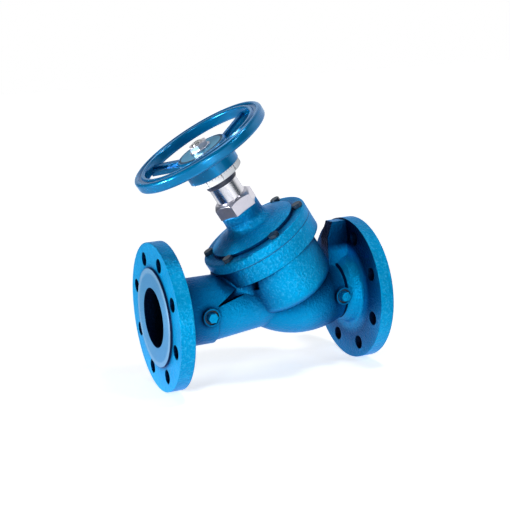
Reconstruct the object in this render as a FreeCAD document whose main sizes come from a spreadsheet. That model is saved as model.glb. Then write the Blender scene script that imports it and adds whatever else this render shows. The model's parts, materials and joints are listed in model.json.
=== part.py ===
import FreeCAD, Part
import math
import os
import re

import Sketcher
from FreeCAD import Placement, Rotation, Vector

# A double regulating valve for DN 80 pipe.
# X runs along the pipe from the outlet face, Z is up, and the stem leans back over the outlet.
# Levels of the stem's pieces are heights along the stem axis from where it crosses the pipe axis.

SIZES = (
    ("face_to_face", 310, "between the two raised faces"),
    ("port_r", 40, "radius of both ports"),
    ("flange_r", 100, "radius of the pipe flanges"),
    ("flange_thick", 19, "pipe flange without its raised face"),
    ("face_r", 66, "radius of the raised faces"),
    ("face_high", 3, "height of the raised faces"),
    ("pipe_bolt_ring_r", 80, "radius of the pipe bolt circle"),
    ("pipe_hole_r", 9.5, "radius of the pipe bolt holes"),
    ("pipe_hole_count", 8, "pipe bolt holes in each flange"),
    ("neck_r", 46, "radius of the outlet neck"),
    ("neck_reach", 52, "end of the neck's skin before the stem axis"),
    ("neck_long", 76, "outlet neck from the outlet face"),
    ("neck_fillet", 6, "fillet between neck and flange"),
    ("shelf_start_x", 56, "start of the tapering outlet passage skin, inside the neck"),
    ("shelf_sunk", 0.3, "its start below the neck's surface"),
    ("lean", 60, "degrees from the pipe axis to the stem axis"),
    ("cross_x", 207.5, "outlet face to the stem axis on the pipe axis"),
    ("shelf_end_x", 165, "end of that skin"),
    ("shelf_end_r", 41, "its radius there"),
    ("shelf_end_lift", 8, "its rise there"),
    ("notch_x", 72, "sharp end of the casting's side notch"),
    ("notch_lift", 9.8, "height of that end"),
    ("notch_slope", 15.8, "degrees of the notch's lower edge"),
    ("notch_long", 64, "length of that edge"),
    ("notch_floor_r", 38.5, "radius of the notch floor about the pipe axis"),
    ("notch_wall_r", 61, "radius of the notch's inner wall about the stem axis"),
    ("notch_roof", 77, "level of the notch's upper edge"),
    ("outlet_wall", 4, "outlet passage wall at the notch"),
    ("outlet_bend", 38, "outlet passage from the notch to its bend"),
    ("outlet_bend_lift", 8, "its rise there"),
    ("outlet_end_lift", 30, "its rise at the seat"),
    ("belly_x", 215, "centre of the belly under the seat"),
    ("belly_drop", 3, "belly centre below the pipe axis"),
    ("belly_long", 85, "belly half length"),
    ("belly_r", 49.5, "belly radius"),
    ("belly_wall", 8, "wall of the belly's side"),
    ("belly_end_wall", 22, "wall of the belly's end"),
    ("inlet_shrink", 5, "fall of the inlet passage's radius"),
    ("inlet_bend", 59, "inlet passage's bend from the stem axis"),
    ("inlet_end", 18, "inlet passage's end from the stem axis"),
    ("inlet_drop", 6, "inlet passage under the pipe axis"),
    ("barrel_r", 64.5, "half width of the oval barrel in the stem's plane"),
    ("barrel_side_r", 78.6, "half width of the barrel square to that plane"),
    ("barrel_foot", 28, "level where the barrel's rounded foot begins"),
    ("barrel_round", 25, "depth of that foot"),
    ("chamber_gap", 9, "chamber wall beyond the plug"),
    ("chamber_floor", 31, "level of the chamber floor"),
    ("body_thread_end", 3, "bolt holes in the body beyond the bolts"),
    ("crown_low", 76.5, "level of the body's top flange, underside"),
    ("joint_level", 100, "level of the joint between body and bonnet"),
    ("crown_r", 79, "radius of the top flange and of the bonnet flange"),
    ("crown_round", 3, "rounding of the bonnet flange's edge"),
    ("bolt_ring_r", 69.5, "radius of the bonnet bolt circle"),
    ("crotch_x", 127, "middle of the fill under the leaning flange"),
    ("crotch_r", 40, "radius of that fill"),
    ("crotch_high", 66, "height of that fill"),
    ("bolt_count", 6, "bonnet bolts"),
    ("bolt_turn", 30, "degrees from the lean's plane to the first bonnet bolt"),
    ("bolt_r", 4, "radius of a bonnet bolt"),
    ("bolt_depth", 14, "bolt thread in the body"),
    ("bolt_head_across", 13, "across flats of a bonnet bolt head"),
    ("bolt_head_high", 5.5, "height of a bonnet bolt head"),
    ("bolt_play", 0.5, "radial play of a bolt in the bonnet"),
    ("gasket_thick", 1, "bonnet gasket"),
    ("bonnet_flange", 13, "thickness of the bonnet flange"),
    ("dome_r", 62, "radius of the bonnet's raised dome"),
    ("dome_step", 4, "height of the dome's step"),
    ("dome_high", 8, "rise of the dome's cone"),
    ("dome_sweep_r", 40, "radius where that cone turns up into the neck"),
    ("dome_sweep", 14.5, "height of that turn"),
    ("bonnet_spigot", 7.5, "depth of the bonnet's spigot in the chamber"),
    ("bonnet_wall", 6, "wall of that spigot"),
    ("bonnet_roof", 112, "level of the bonnet's inner roof"),
    ("bonnet_neck_r", 28, "radius of the bonnet neck"),
    ("bonnet_top", 152, "level of the bonnet neck's end"),
    ("gland_bore_r", 17, "bore of the bonnet neck"),
    ("slip", 0.05, "radial clearance of pieces that slide or seat in a bore"),
    ("passing", 0.3, "gap between pieces that pass each other"),
    ("edge", 1, "chamfer of turned edges"),
    ("fine_edge", 0.8, "chamfer of small edges"),
    ("stem_r", 10, "radius of the stem"),
    ("stem_top_r", 8, "radius of the stem's threaded top"),
    ("stem_shoulder", 232, "level of the shoulder under the handwheel"),
    ("stem_top", 260, "level of the stem's end"),
    ("stem_collar_r", 14, "radius of the collar at the stem's foot"),
    ("stem_collar_high", 5.7, "height of that collar"),
    ("bush_flange_r", 22, "radius of the threaded bush's flange"),
    ("bush_flange_high", 4.5, "height of that flange"),
    ("bush_long", 18, "threaded bush above its flange"),
    ("packing_high", 5, "height of one packing ring"),
    ("nut_across", 52, "across flats of the gland nut"),
    ("nut_high", 19, "height of the gland nut"),
    ("nut_chamfer", 4.5, "depth of the chamfer on the nut's corners"),
    ("sleeve_r", 20.8, "radius of the indicator sleeve"),
    ("sleeve_bore_r", 16.5, "bore of the indicator sleeve"),
    ("sleeve_seat", 8, "depth of the sleeve's seat in the gland nut"),
    ("sleeve_top", 218, "level of the sleeve's end"),
    ("port_seat_r", 38, "radius of the seat opening"),
    ("seat_wall", 8, "wall of the seat ring"),
    ("seat_base", 22, "level of the seat ring's underside"),
    ("seat_top", 32, "level of the seat"),
    ("seat_lip", 4, "width of the seat"),
    ("seat_sunk", 0.5, "seat ring below the chamber floor"),
    ("opening", 20, "lift of the plug off its seat as shown"),
    ("seal_high", 4.75, "thickness of the plug's seal"),
    ("seal_lap", 5, "plug's seal inside the seat opening"),
    ("seal_over", 6.5, "plug's seal beyond the seat opening"),
    ("plug_over", 9, "plug beyond the seat opening"),
    ("plug_plate", 11, "thickness of the plug over its seal"),
    ("seal_grip", 1.3, "plug's lip beside its seal"),
    ("screw_gap", 2, "plug over the end of the cone screw's hole"),
    ("plug_hub_r", 21, "radius of the plug's socket hub"),
    ("plug_hub_high", 16, "height of that socket"),
    ("socket_r", 15, "bore of the plug's socket"),
    ("cone_long", 18.2, "throttle cone below the seal"),
    ("cone_play", 0.5, "throttle cone inside the seat opening"),
    ("cone_taper", 11.5, "fall of the throttle cone's radius"),
    ("screw_r", 5, "radius of the cone screw"),
    ("screw_head_r", 8, "radius of its head"),
    ("screw_head_high", 9, "height of its head"),
    ("key_socket", 4, "depth of the sockets for a hexagon key"),
    ("thrust_high", 1.9, "thickness of the thrust washer"),
    ("nut_slot_wide", 3, "width of the plug nut's slot"),
    ("nut_slot_deep", 2.5, "depth of the plug nut's slot"),
    ("spindle_r", 2.5, "radius of the stop spindle"),
    ("spindle_head_r", 4, "radius of its head"),
    ("spindle_head_low", 240, "level of its head's shoulder"),
    ("spindle_top", 256, "level of its head's end"),
    ("clip_high", 1.6, "thickness of the ring over it"),
    ("spindle_key", 3, "across flats of the spindle's socket"),
    ("spindle_play", 0.5, "spindle's end over the bottom of its bore"),
    ("stop_level", 85, "level of the stop collar's underside as shown"),
    ("stop_travel", 8, "travel of the stop collar along the stem"),
    ("stop_high", 6, "height of the stop collar"),
    ("stop_r", 18, "radius of the stop collar"),
    ("bar_wide", 8.6, "width of the stop collar's cross bar"),
    ("bar_high", 4.5, "height of that bar"),
    ("wheel_turn", 9, "degrees from the lean's plane to the first spoke"),
    ("rim_r", 97.5, "outer radius of the handwheel rim"),
    ("rim_wide", 17, "width of the rim"),
    ("rim_low", 245, "level of the rim's underside"),
    ("rim_high", 15, "height of the rim"),
    ("rim_round", 4, "rounding of the rim's edges"),
    ("rim_groove", 2.2, "depth of the groove round the rim's top"),
    ("spoke_count", 3, "spokes of the handwheel"),
    ("spoke_wide", 24, "width of a spoke"),
    ("spoke_thick", 7, "thickness of a spoke"),
    ("spoke_root", 241, "level of a spoke's top at the drum"),
    ("spoke_tip", 250, "level of a spoke's top at the rim"),
    ("rib_wide", 7, "width of a spoke's rib"),
    ("rib_high", 3, "height of that rib"),
    ("drum_r", 37, "radius of the handwheel's drum"),
    ("drum_bore_r", 28, "bore of the drum"),
    ("drum_low", 215, "level of the drum's lower edge"),
    ("drum_roof", 240, "level of the drum's inner roof"),
    ("drum_top", 248.7, "level of the drum's top"),
    ("drum_round", 3, "rounding of the drum's top edge"),
    ("hub_r", 15.5, "radius of the hub inside the drum"),
    ("cover_r", 33, "radius of the hub cover"),
    ("cover_high", 3, "thickness of the hub cover"),
    ("cover_proud", 0.2, "hub cover above the drum's top"),
    ("washer_r", 15, "radius of the wheel washer"),
    ("washer_high", 2, "thickness of the wheel washer"),
    ("wheel_nut_across", 24, "across flats of the wheel nut"),
    ("wheel_nut_high", 7, "height of the wheel nut"),
    ("key_wide", 4, "width of the wheel key"),
    ("key_high", 4, "height of the wheel key"),
    ("key_long", 11, "length of the wheel key"),
    ("key_rise", 1, "keyway above the stem's shoulder"),
    ("key_play", 0.2, "play at each end of the key"),
    ("dial_r", 35.7, "radius of the graduated ring"),
    ("dial_high", 9.6, "height of the graduated ring"),
    ("dial_bore_r", 23.5, "bore of the graduated ring"),
    ("dial_spigot", 3, "ring's spigot in the drum"),
    ("dial_screw_ring_r", 30.5, "radius of the dial screw circle"),
    ("dial_screw_r", 1.5, "radius of a dial screw"),
    ("dial_screw_count", 3, "screws in the graduated ring"),
    ("dial_screw_sink", 2.6, "depth of a dial screw's recess"),
    ("dial_head_high", 2.2, "height of a dial screw's head"),
    ("dial_screw_long", 14.6, "dial screw under its head"),
    ("dial_thread", 9, "depth of a dial screw's hole in the drum"),
    ("wiper_r", 22.5, "radius of the wiper's lip"),
    ("wiper_lip", 10.4, "wiper below the graduated ring"),
    ("wiper_root", 6, "wiper inside the graduated ring"),
    ("inlet_root_r", 54, "radius of the inlet neck at its flange"),
    ("inlet_step_r", 48.5, "radius of the inlet neck behind that root"),
    ("inlet_step", 4, "length of the root"),
    ("inlet_end_r", 28, "radius where the inlet neck ends inside the belly"),
    ("inlet_long", 26, "inlet neck behind its flange"),
    ("web_thick", 20, "thickness of the web behind the inlet flange"),
    ("web_long", 30, "length of that web"),
    ("web_foot_r", 32, "web's foot from the pipe axis"),
    ("web_corner_r", 76, "web's sloping corner from the pipe axis"),
    ("web_under", 2, "web's top below the flange's rim"),
    ("boss_outlet_x", 64, "outlet boss from the outlet face"),
    ("boss_inlet_x", 259, "inlet boss from the outlet face"),
    ("boss_r", 12, "radius of the tapping bosses"),
    ("boss_face", 50, "boss face from the stem's plane"),
    ("spot_r", 9.8, "radius of the recess in a boss"),
    ("spot_deep", 4, "depth of that recess"),
    ("tapping_r", 6.6, "radius of a tapping"),
    ("tapping_long", 8.5, "thread of a tapping plug"),
    ("tapping_collar_r", 7.6, "radius of a tapping plug's collar"),
    ("tapping_collar_high", 1.6, "thickness of that collar"),
    ("tapping_across", 12, "across flats of a tapping plug's head"),
    ("tapping_head_high", 7.5, "height of that head over its collar"),
    ("tapping_seal_r", 9.5, "radius of a tapping plug's seal"),
    ("tapping_seal_high", 1, "thickness of a tapping plug's seal"),
)

FUNCTIONS = {"cos", "sin", "tan", "sqrt"}

# Radii that follow the seat opening.

SEAT_RING_R = "(port_seat_r + seat_wall)"
SEAL_INNER_R = "(port_seat_r - seal_lap)"
SEAL_R = "(port_seat_r + seal_over)"
PLUG_R = "(port_seat_r + plug_over)"
CONE_R = "(port_seat_r - cone_play)"
CHAMBER_R = "(port_seat_r + plug_over + chamber_gap)"

doc = FreeCAD.newDocument("valve")
sheet = doc.addObject("Spreadsheet::Sheet", "Sizes")
sub_parts = []


def fill_sheet():
    for row, (alias, number, meaning) in enumerate(SIZES, 1):
        sheet.set("A%d" % row, meaning)
        sheet.set("B%d" % row, str(number))
        sheet.setAlias("B%d" % row, alias)
    doc.recompute()


def sized(text):
    """An expression in which every word is a cell of the sheet."""
    def cell(found):
        word = found.group()
        return word if word in FUNCTIONS else "Sizes." + word
    return re.sub(r"\b[a-z]\w*", cell, text)


def number(text):
    return float(doc.getObject("Sizes").evalExpression(sized(text)))


def bind(thing, **expressions):
    """Tie properties to the sheet; a double underscore stands for a dot."""
    for name, text in expressions.items():
        thing.setExpression(name.replace("__", "."), sized(text))
    return thing


def at(thing, x="0", y="0", z="0"):
    return bind(thing, Placement__Base__x=x, Placement__Base__y=y, Placement__Base__z=z)


def along_stem(thing):
    """Stand a piece, made along Z, on the stem axis."""
    thing.Placement = Placement(Vector(1, 0, 0), Rotation(Vector(0, -1, 0), 1))
    thing.setExpression("Placement.Rotation.Angle", sized("90 - lean"))
    return at(thing, x="cross_x")


def with_wheel(thing):
    """Stand a piece on the stem axis, turned as the handwheel is."""
    turned = Rotation(Vector(0, -1, 0), 90 - number("lean"))
    turned = turned.multiply(Rotation(Vector(0, 0, 1), number("wheel_turn")))
    thing.Placement = Placement(Vector(number("cross_x"), 0, 0), turned)
    return thing


def keep(thing, label):
    thing.Label = label
    sub_parts.append(thing)
    return thing


def solid(kind, name, **expressions):
    return bind(doc.addObject("Part::" + kind, name), **expressions)


def rod(name, radius, low, high, x="0", y="0"):
    """A cylinder along Z between two levels."""
    thing = solid("Cylinder", name, Radius=radius, Height="(%s) - (%s)" % (high, low))
    return at(thing, x=x, y=y, z=low)


def stem_rod(name, radius, low, high):
    """A cylinder along the stem axis between two levels, standing where it is used."""
    thing = along_stem(solid("Cylinder", name, Radius=radius, Height="(%s) - (%s)" % (high, low)))
    return at(thing, x="cross_x - (%s) * cos(lean)" % low, z="(%s) * sin(lean)" % low)


def pipe_rod(name, radius, low, high, z="0"):
    """A cylinder along X between two places."""
    thing = solid("Cylinder", name, Radius=radius, Height="(%s) - (%s)" % (high, low))
    thing.Placement = Placement(Vector(), Rotation(Vector(0, 1, 0), 90))
    return at(thing, x=low, z=z)


def block(name, long, wide, high, x="0", y="0", z="0"):
    """A box with its middle at x and y, standing on z."""
    thing = solid("Box", name, Length=long, Width=wide, Height=high)
    return at(thing, x="(%s) - (%s) / 2" % (x, long), y="(%s) - (%s) / 2" % (y, wide), z=z)


def fuse(name, things):
    thing = doc.addObject("Part::MultiFuse", name)
    thing.Shapes = things
    return thing


def cut(name, base, tools):
    thing = doc.addObject("Part::Cut", name)
    thing.Base = base
    thing.Tool = tools[0] if len(tools) == 1 else fuse(name + "_tools", tools)
    return thing


def common(name, base, tool):
    thing = doc.addObject("Part::Common", name)
    thing.Base = base
    thing.Tool = tool
    return thing


def circle(name, radius, x="0", y="0", z="0", across_pipe=False):
    thing = solid("Circle", name, Radius=radius)
    if across_pipe:
        thing.Placement = Placement(Vector(), Rotation(Vector(0, 1, 0), 90))
    return at(thing, x=x, y=y, z=z)


def loft(name, sections):
    thing = doc.addObject("Part::Loft", name)
    thing.Sections = sections
    thing.Solid = True
    thing.Ruled = True
    return thing


def ring_of(name, make, count, start=0.0):
    """Copies of a piece at even angles; make gets a name and the x and y factors."""
    step = 360.0 / number(count)
    copies = []
    for index in range(int(number(count))):
        angle = math.radians(start + index * step)
        across, up = "%.9f" % math.cos(angle), "%.9f" % math.sin(angle)
        copies.append(make("%s_%d" % (name, index), across, up))
    return copies


def new_body(label):
    body = doc.addObject("PartDesign::Body", label)
    body.AllowCompound = True
    return keep(body, label)


def plane_of(body, role):
    return next(one for one in body.Origin.OriginFeatures if one.Role == role)


def outline(body, name, corners, role="XZ_Plane", level=None):
    """A sketch of closed lines through the corners. A corner marked via is the middle of an arc."""
    if body is None:
        sketch = doc.addObject("Sketcher::SketchObject", name)
        tilt = 90 if role == "XZ_Plane" else 0
        sketch.Placement = Placement(Vector(), Rotation(Vector(1, 0, 0), tilt))
    else:
        sketch = body.newObject("Sketcher::SketchObject", name)
        sketch.AttachmentSupport = [(plane_of(body, role), "")]
        sketch.MapMode = "FlatFace"
    if level is not None:
        sketch.setExpression("AttachmentOffset.Base.z", sized(level))
    draw(sketch, corners)
    return sketch


def draw(sketch, corners):
    spots = [Vector(number(corner[0]), number(corner[1]), 0) for corner in corners]
    ends = [index for index, corner in enumerate(corners) if len(corner) == 2]
    first_edge = sketch.GeometryCount
    for here, there in zip(ends, ends[1:] + ends[:1]):
        middle = here + 1
        if middle < len(corners) and middle != there and len(corners[middle]) == 3:
            sketch.addGeometry(Part.Arc(spots[here], spots[middle], spots[there]), False)
        else:
            sketch.addGeometry(Part.LineSegment(spots[here], spots[there]), False)
    tie(sketch, corners, spots, ends, first_edge)


def start_of(sketch, edge, spot):
    """Arcs run anticlockwise in a sketch, so an arc's first end may be its second point."""
    return 1 if sketch.getPoint(edge, 1).isEqual(spot, 1e-6) else 2


def tie(sketch, corners, spots, ends, first_edge):
    count = len(ends)
    for index in range(count):
        edge = first_edge + index
        following = first_edge + (index + 1) % count
        spot = spots[ends[(index + 1) % count]]
        end = 3 - start_of(sketch, edge, spots[ends[index]])
        sketch.addConstraint(
            Sketcher.Constraint("Coincident", edge, end, following, start_of(sketch, following, spot)))
    for index in range(count):
        edge = first_edge + index
        point = start_of(sketch, edge, spots[ends[index]])
        pin(sketch, edge, point, corners[ends[index]])
        middle = ends[index] + 1
        if middle < len(corners) and len(corners[middle]) == 3:
            dot = sketch.addGeometry(Part.Point(spots[middle]), True)
            pin(sketch, dot, 1, corners[middle])
            sketch.addConstraint(Sketcher.Constraint("PointOnObject", dot, 1, edge))


def pin(sketch, edge, point, corner):
    for kind, axis, text in (("DistanceX", -2, corner[0]), ("DistanceY", -1, corner[1])):
        if text == "0":
            sketch.addConstraint(Sketcher.Constraint("PointOnObject", edge, point, axis))
        else:
            row = sketch.addConstraint(Sketcher.Constraint(kind, -1, 1, edge, point, number(text)))
            sketch.setExpression("Constraints[%d]" % row, sized(text))


def turn(body, name, corners):
    """Revolve an outline of radius and level corners about the body's Z axis."""
    sketch = outline(body, name + "_outline", corners)
    feature = body.newObject("PartDesign::Revolution", name)
    feature.Profile = sketch
    feature.ReferenceAxis = (sketch, ["V_Axis"])
    feature.Angle = 360
    return feature


def turned(label, corners):
    body = new_body(label)
    turn(body, label + "_turn", corners)
    return along_stem(body)


def pad(body, name, corners, level, high):
    sketch = outline(body, name + "_outline", corners, "XY_Plane", level)
    feature = body.newObject("PartDesign::Pad", name)
    feature.Profile = sketch
    return bind(feature, Length=high)


def pocket(body, name, corners, level, deep):
    sketch = outline(body, name + "_outline", corners, "XY_Plane", level)
    feature = body.newObject("PartDesign::Pocket", name)
    feature.Profile = sketch
    return bind(feature, Length=deep)


def hexagon(across, x="0", y="0"):
    """Corners of a hexagon with two flats facing along y."""
    size = "(%s) / sqrt(3)" % across
    corners = []
    for turn in range(0, 360, 60):
        corners.append(("(%s) + %s * cos(%d)" % (x, size, turn),
                        "(%s) + %s * sin(%d)" % (y, size, turn)))
    return corners


def rectangle(x_low, x_high, y_low, y_high):
    return [(x_low, y_low), (x_high, y_low), (x_high, y_high), (x_low, y_high)]


def add_circle(sketch, radius, x="0", y="0"):
    middle = Vector(number(x), number(y), 0)
    row = sketch.addGeometry(Part.Circle(middle, Vector(0, 0, 1), number(radius)), False)
    pin(sketch, row, 3, (x, y))
    radial = sketch.addConstraint(Sketcher.Constraint("Radius", row, number(radius)))
    sketch.setExpression("Constraints[%d]" % radial, sized(radius))


def round_pad(body, name, radius, level, high, x="0", y="0"):
    feature = pad(body, name, [], level, high)
    add_circle(feature.Profile[0], radius, x, y)
    return feature


def round_pocket(body, name, radius, level, deep, x="0", y="0"):
    feature = pocket(body, name, [], level, deep)
    add_circle(feature.Profile[0], radius, x, y)
    return feature


def pattern(body, name, features, count):
    feature = body.newObject("PartDesign::PolarPattern", name)
    feature.Originals = features
    feature.Axis = (plane_of(body, "Z_Axis"), [""])
    feature.Angle = 360
    bind(feature, Occurrences=count)
    body.Tip = feature
    return feature


def bolt_holes(name, radius, low, high):
    def hole(title, fx, fy):
        return rod(title, radius, low, high, "bolt_ring_r * " + fx, "bolt_ring_r * " + fy)
    return ring_of(name, hole, "bolt_count", number("bolt_turn"))


# The body casting.

def flange_side(name, corners):
    """Revolve a flange and neck outline of x and radius corners about the pipe axis."""
    sketch = outline(None, name + "_outline", corners)
    thing = doc.addObject("Part::Revolution", name)
    thing.Source = sketch
    thing.Axis = Vector(1, 0, 0)
    thing.Base = Vector()
    thing.Angle = 360
    thing.Solid = True
    return thing


def outlet_side():
    foot = "face_high + flange_thick"
    return flange_side("outlet_side", [
        ("0", "0"),
        ("0", "face_r"),
        ("face_high", "face_r"),
        ("face_high", "flange_r"),
        (foot, "flange_r"),
        (foot, "neck_r + neck_fillet"),
        (foot + " + neck_fillet * (1 - cos(45))", "neck_r + neck_fillet * (1 - cos(45))", "via"),
        (foot + " + neck_fillet", "neck_r"),
        ("cross_x - neck_reach", "neck_r"),
        ("cross_x - neck_reach", "0"),
    ])


def inlet_side():
    back = "face_to_face - face_high - flange_thick"
    return flange_side("inlet_side", [
        ("face_to_face", "0"),
        ("face_to_face", "face_r"),
        ("face_to_face - face_high", "face_r"),
        ("face_to_face - face_high", "flange_r"),
        (back, "flange_r"),
        (back, "inlet_root_r"),
        (back + " - inlet_step * 0.3", "inlet_root_r * 0.4 + inlet_step_r * 0.6 - 0.2", "via"),
        (back + " - inlet_step", "inlet_step_r"),
        (back + " - inlet_long / 2", "inlet_step_r * 0.72 + inlet_end_r * 0.28 + 0.8", "via"),
        (back + " - inlet_long", "inlet_end_r"),
        (back + " - inlet_long", "0"),
    ])


def outlet_shelf():
    """The skin that tapers from the neck towards the seat."""
    return loft("outlet_shelf", [
        circle("shelf_start", "neck_r - shelf_sunk", x="shelf_start_x", across_pipe=True),
        circle("shelf_end", "shelf_end_r", x="shelf_end_x", z="shelf_end_lift", across_pipe=True),
    ])


def side_notch():
    """The hollow under the leaning flange, above the shelf, on both sides of the casting."""
    above = solid("Box", "notch_above", Length="notch_long", Width="4 * neck_r", Height="2 * neck_r")
    above.Placement = Placement(Vector(1, 0, 0), Rotation(Vector(0, -1, 0), 1))
    above.setExpression("Placement.Rotation.Angle", sized("notch_slope"))
    at(above, x="notch_x", y="-2 * neck_r", z="notch_lift")
    floor = pipe_rod("notch_floor", "notch_floor_r", "0", "face_to_face")
    wall = stem_rod("notch_wall", "notch_wall_r", "0", "joint_level")
    return cut("side_notch", above, [floor, wall])


def outlet_neck():
    """The outlet flange and its round neck, which reaches the barrel only above the notch."""
    side = "4 * neck_r"
    behind = block("neck_behind", "cross_x", side, side, "neck_long + cross_x / 2", "0", "-2 * neck_r")
    above = stem_rod("notch_roof_side", "4 * neck_r", "notch_roof", "joint_level + 2 * neck_r")
    return cut("outlet_neck", outlet_side(), [cut("neck_trim", behind, [above])])


def lemon(name, half_long, radius):
    """A pointed bulge about an axis along X, its side one arc."""
    reach = "(%s) * 0.9" % half_long
    end = "(%s) * 0.49" % radius
    return flange_side(name, [
        ("-" + reach, "0"),
        ("-" + reach, end),
        ("0", radius, "via"),
        (reach, end),
        (reach, "0"),
    ])


def belly():
    return at(lemon("belly", "belly_long", "belly_r"), x="belly_x", z="-belly_drop")


def oval(name, level):
    """An ellipse square to the stem, its long way across the stem's plane."""
    thing = solid("Ellipse", name, MajorRadius="barrel_side_r", MinorRadius="barrel_r")
    thing.Placement = Placement(Vector(), Rotation(Vector(0, 0, 1), 90))
    return at(thing, z=level)


def barrel():
    """The oval inclined barrel with its rounded foot."""
    wall = doc.addObject("Part::Extrusion", "barrel_wall")
    wall.Base = oval("barrel_oval", "barrel_foot")
    wall.DirMode = "Custom"
    wall.Dir = Vector(0, 0, 1)
    wall.Solid = True
    bind(wall, LengthFwd="crown_low + 1 - barrel_foot")
    foot = solid("Ellipsoid", "barrel_foot", Radius1="barrel_round", Radius2="barrel_r",
                 Radius3="barrel_side_r")
    foot.Angle2 = 0
    at(foot, z="barrel_foot")
    return along_stem(fuse("barrel", [wall, foot]))


def crown():
    """The round flange that carries the bonnet."""
    return stem_rod("crown", "crown_r", "crown_low", "joint_level")


def crotch():
    """The fill between the outlet neck and the flange that leans over it."""
    fill = solid("Cylinder", "crotch_fill", Radius="crotch_r", Height="crotch_high")
    at(fill, x="crotch_x")
    return common("crotch", fill, stem_rod("crotch_under", "4 * crown_r", "0", "joint_level - 0.5"))


def upper_bores():
    bores = [
        rod("chamber", CHAMBER_R, "chamber_floor", "joint_level + 1"),
        rod("seat_pocket", SEAT_RING_R + " + slip", "seat_base", "chamber_floor + 1"),
        rod("seat_way", "port_seat_r + 0.5", "0", "seat_base + 1"),
    ]
    hole_end = "joint_level - bolt_depth - body_thread_end"
    bores += bolt_holes("body_bolt_hole", "bolt_r + slip", hole_end, "joint_level + 1")
    return along_stem(fuse("upper_bores", bores))


def outlet_way():
    """The outlet passage, rising from the port to the chamber above the seat."""
    return loft("outlet_way", [
        circle("outlet_way_1", "port_r", x="-1", across_pipe=True),
        circle("outlet_way_2", "notch_floor_r - outlet_wall", x="notch_x - 2", across_pipe=True),
        circle("outlet_way_3", "notch_floor_r - 1.5 * outlet_wall", x="notch_x + outlet_bend",
               z="outlet_bend_lift", across_pipe=True),
        circle("outlet_way_4", "notch_floor_r - 2 * outlet_wall", x="cross_x - neck_reach",
               z="outlet_end_lift", across_pipe=True),
    ])


def inlet_way():
    """The inlet passage, dropping under the seat and turning up through it."""
    mouth = loft("inlet_mouth", [
        circle("inlet_way_1", "port_r", x="face_to_face + 1", across_pipe=True),
        circle("inlet_way_2", "port_r - inlet_shrink", x="cross_x + inlet_bend",
               z="-inlet_drop", across_pipe=True),
        circle("inlet_way_3", "port_r - inlet_shrink", x="cross_x + inlet_end",
               z="-inlet_drop", across_pipe=True),
    ])
    hollow = lemon("inlet_hollow", "belly_long - belly_end_wall", "belly_r - belly_wall")
    at(hollow, x="belly_x - 2", z="-belly_drop")
    below = stem_rod("inlet_below", "2 * barrel_r", "-2 * barrel_r", "seat_base - 5")
    return fuse("inlet_way", [mouth, common("inlet_bowl", hollow, below)])


def pipe_holes(name, low, high):
    def hole(title, fx, fz):
        thing = pipe_rod(title, "pipe_hole_r", low, high)
        ring = "pipe_bolt_ring_r * "
        return bind(thing, Placement__Base__y=ring + fx, Placement__Base__z=ring + fz)
    return ring_of(name, hole, "pipe_hole_count", 180.0 / number("pipe_hole_count"))


def side_rod(name, radius, low, high, x):
    """A cylinder square to the stem's plane, from low to high on its near side."""
    thing = solid("Cylinder", name, Radius=radius, Height="(%s) - (%s)" % (high, low))
    thing.Placement = Placement(Vector(), Rotation(Vector(1, 0, 0), 90))
    return at(thing, x=x, y="-(%s)" % low)


def boss_bores():
    bores = []
    for side in ("outlet", "inlet"):
        place = "boss_%s_x" % side
        bores.append(side_rod("spot_" + side, "spot_r", "boss_face - spot_deep", "boss_face + 5", place))
        bores.append(side_rod("tapping_" + side, "tapping_r + slip", "port_r - 15", "boss_face", place))
    return bores


def web():
    """The web that stands on the inlet neck against the flange's back."""
    back = "face_to_face - face_high - flange_thick"
    sketch = outline(None, "web_outline", [
        (back + " + 1", "web_foot_r"),
        (back + " + 1", "flange_r - web_under"),
        (back + " - web_long * 0.72", "flange_r - web_under"),
        (back + " - web_long", "web_corner_r"),
        (back + " - web_long", "web_foot_r"),
    ])
    plate = doc.addObject("Part::Extrusion", "web")
    plate.Base = sketch
    plate.DirMode = "Custom"
    plate.Dir = Vector(0, 1, 0)
    plate.Solid = True
    plate.Symmetric = True
    return bind(plate, LengthFwd="web_thick")


def body_casting():
    bosses = [side_rod("boss_" + side, "boss_r", "port_r - 8", "boss_face", "boss_%s_x" % side)
              for side in ("outlet", "inlet")]
    notched = cut("notched_middle", fuse("middle", [outlet_shelf(), barrel()]), [side_notch()])
    outside = [outlet_neck(), inlet_side(), notched, belly(), crown(), crotch(), web()]
    inside = [upper_bores(), outlet_way(), inlet_way()]
    inside += pipe_holes("outlet_hole", "-1", "face_high + flange_thick + 1")
    inside += pipe_holes("inlet_hole", "face_to_face - face_high - flange_thick - 1", "face_to_face + 1")
    casting = cut("body_casting", fuse("outer_skin", outside + bosses), inside + boss_bores())
    return keep(casting, "body_casting")


# Seat, gasket and bonnet.

def seat_ring():
    return turned("seat_ring", [
        ("port_seat_r", "seat_base"),
        (SEAT_RING_R, "seat_base"),
        (SEAT_RING_R, "chamber_floor - seat_sunk"),
        ("port_seat_r + seat_lip + fine_edge", "chamber_floor - seat_sunk"),
        ("port_seat_r + seat_lip", "seat_top"),
        ("port_seat_r", "seat_top"),
    ])


def bonnet_gasket():
    low, high = "joint_level - 1", "joint_level + gasket_thick + 1"
    plate = rod("gasket_plate", "crown_r", "joint_level", "joint_level + gasket_thick")
    holes = bolt_holes("gasket_hole", "bolt_r + bolt_play", low, high)
    middle = rod("gasket_middle", CHAMBER_R, low, high)
    return keep(along_stem(cut("bonnet_gasket", plate, [middle] + holes)), "bonnet_gasket")


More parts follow.
